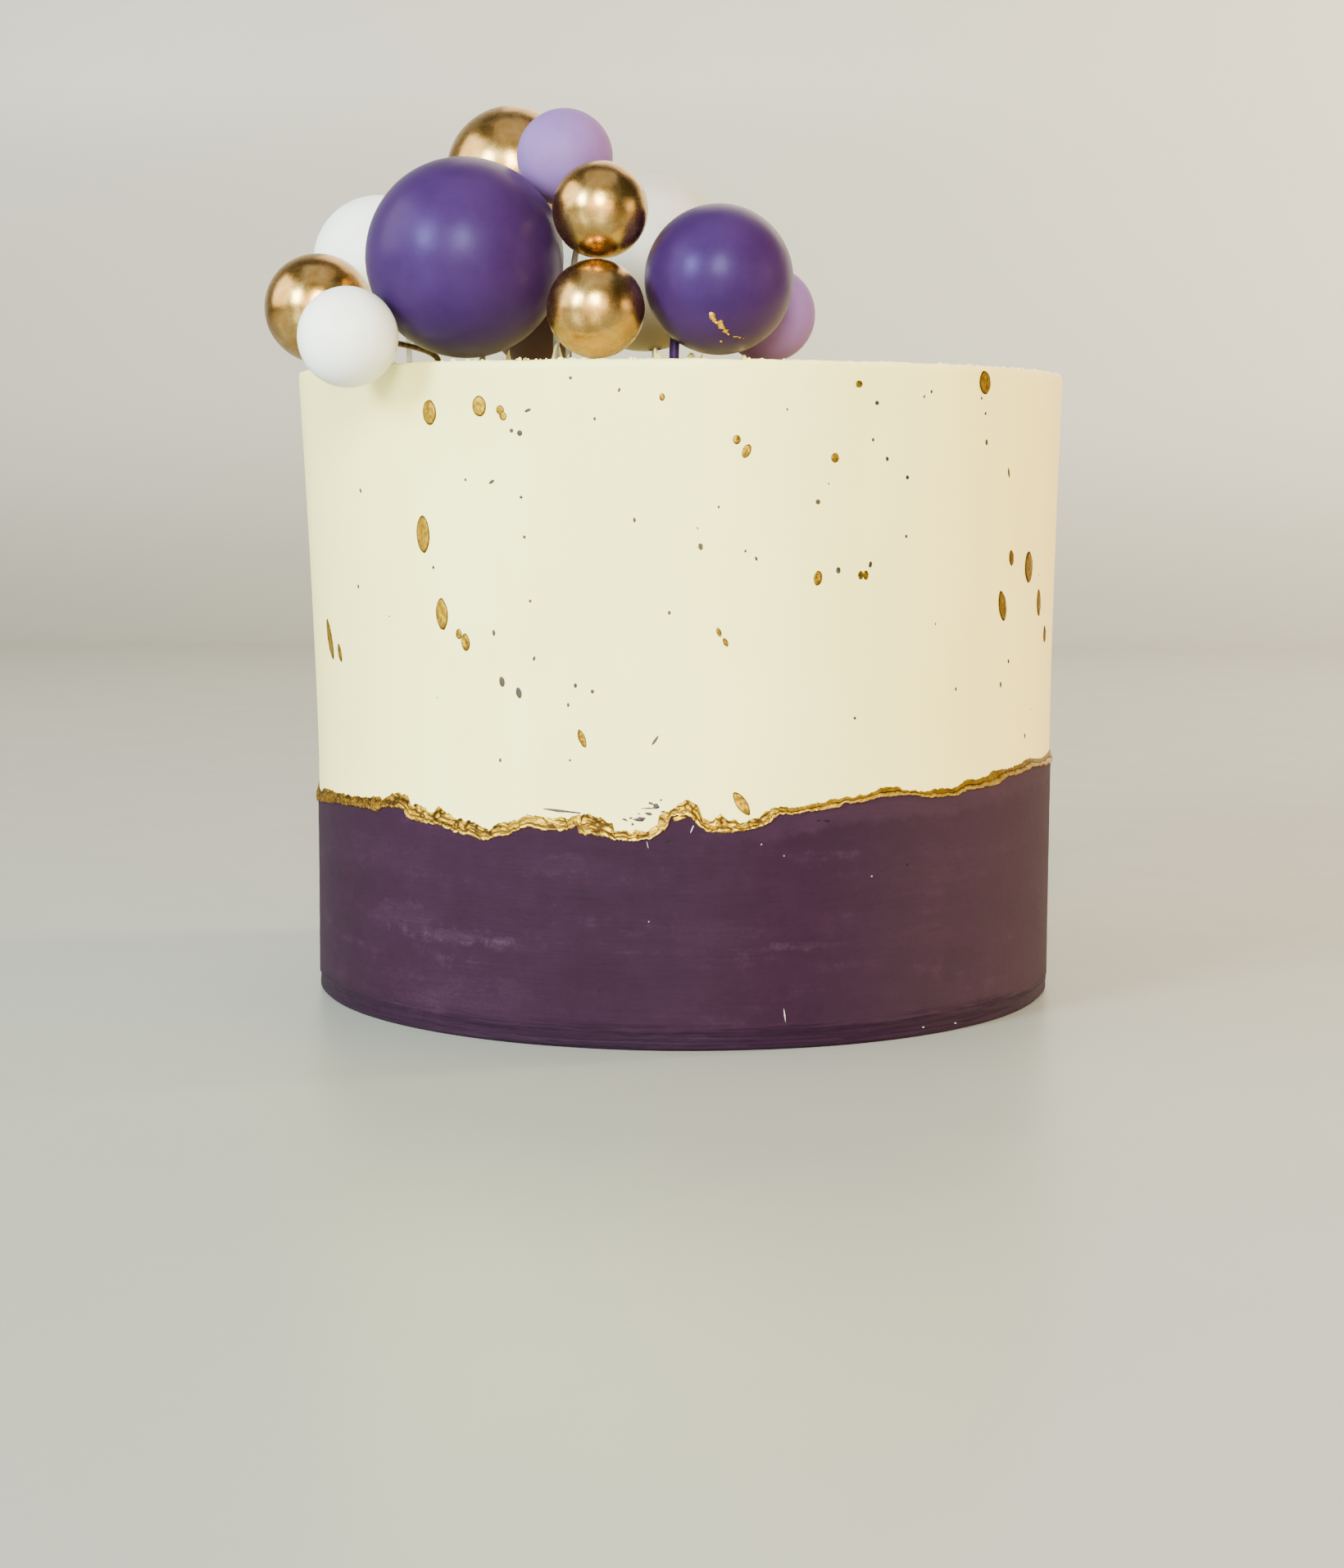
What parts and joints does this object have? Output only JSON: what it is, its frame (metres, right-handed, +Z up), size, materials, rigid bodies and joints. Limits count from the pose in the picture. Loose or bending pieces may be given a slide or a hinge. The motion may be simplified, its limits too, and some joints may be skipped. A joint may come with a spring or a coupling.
{
  "type": "layer cake",
  "caption": "Tall round layer cake iced ivory above purple, with a torn gold edge between them, gold splashes on the wall and a cluster of round topper balls.",
  "frame": {"origin": "centre of the flat base, on the surface that the cake stands on", "axes": "+Z up, -Y towards the shown front, +X to the viewer's right"},
  "size_m": [0.1801, 0.1698, 0.1975],
  "materials": {
    "icing_ivory": "smooth matt ivory buttercream, standing in for food",
    "icing_purple": "velvety matt purple icing, standing in for food",
    "gold_paint": "edible gold paint, crumpled and satin",
    "ball_white": "satin white",
    "ball_gold": "metallised gold, slightly rough mirror",
    "ball_purple": "satin purple",
    "ball_lilac": "matt lilac",
    "pick_white": "plain pale pick",
    "pick_bronze": "dark bronze wire"
  },
  "bodies": {
    "root": {"ivory_layer": "icing_ivory", "purple_layer": "icing_purple", "gold_edge": "gold_paint", "ball_white_front": "ball_white", "ball_gold_left": "ball_gold", "ball_white_rear_left": "ball_white", "ball_purple_large": "ball_purple", "ball_gold_top": "ball_gold", "ball_lilac_top": "ball_lilac", "ball_gold_upper": "ball_gold", "ball_gold_lower": "ball_gold", "ball_purple_shaded": "ball_purple", "ball_white_large": "ball_white", "ball_purple_right": "ball_purple", "ball_lilac_right": "ball_lilac", "pick_white_front": "pick_bronze", "pick_gold_left": "pick_bronze", "pick_white_rear_left": "pick_white", "pick_purple_large": "pick_white", "pick_gold_top": "pick_white", "pick_lilac_top": "pick_white", "pick_gold_upper": "pick_white", "pick_gold_lower": "pick_white", "pick_purple_shaded": "pick_white", "pick_white_large": "pick_white", "pick_purple_right": "ball_purple", "pick_lilac_right": "pick_white"}
  },
  "joints": []
}
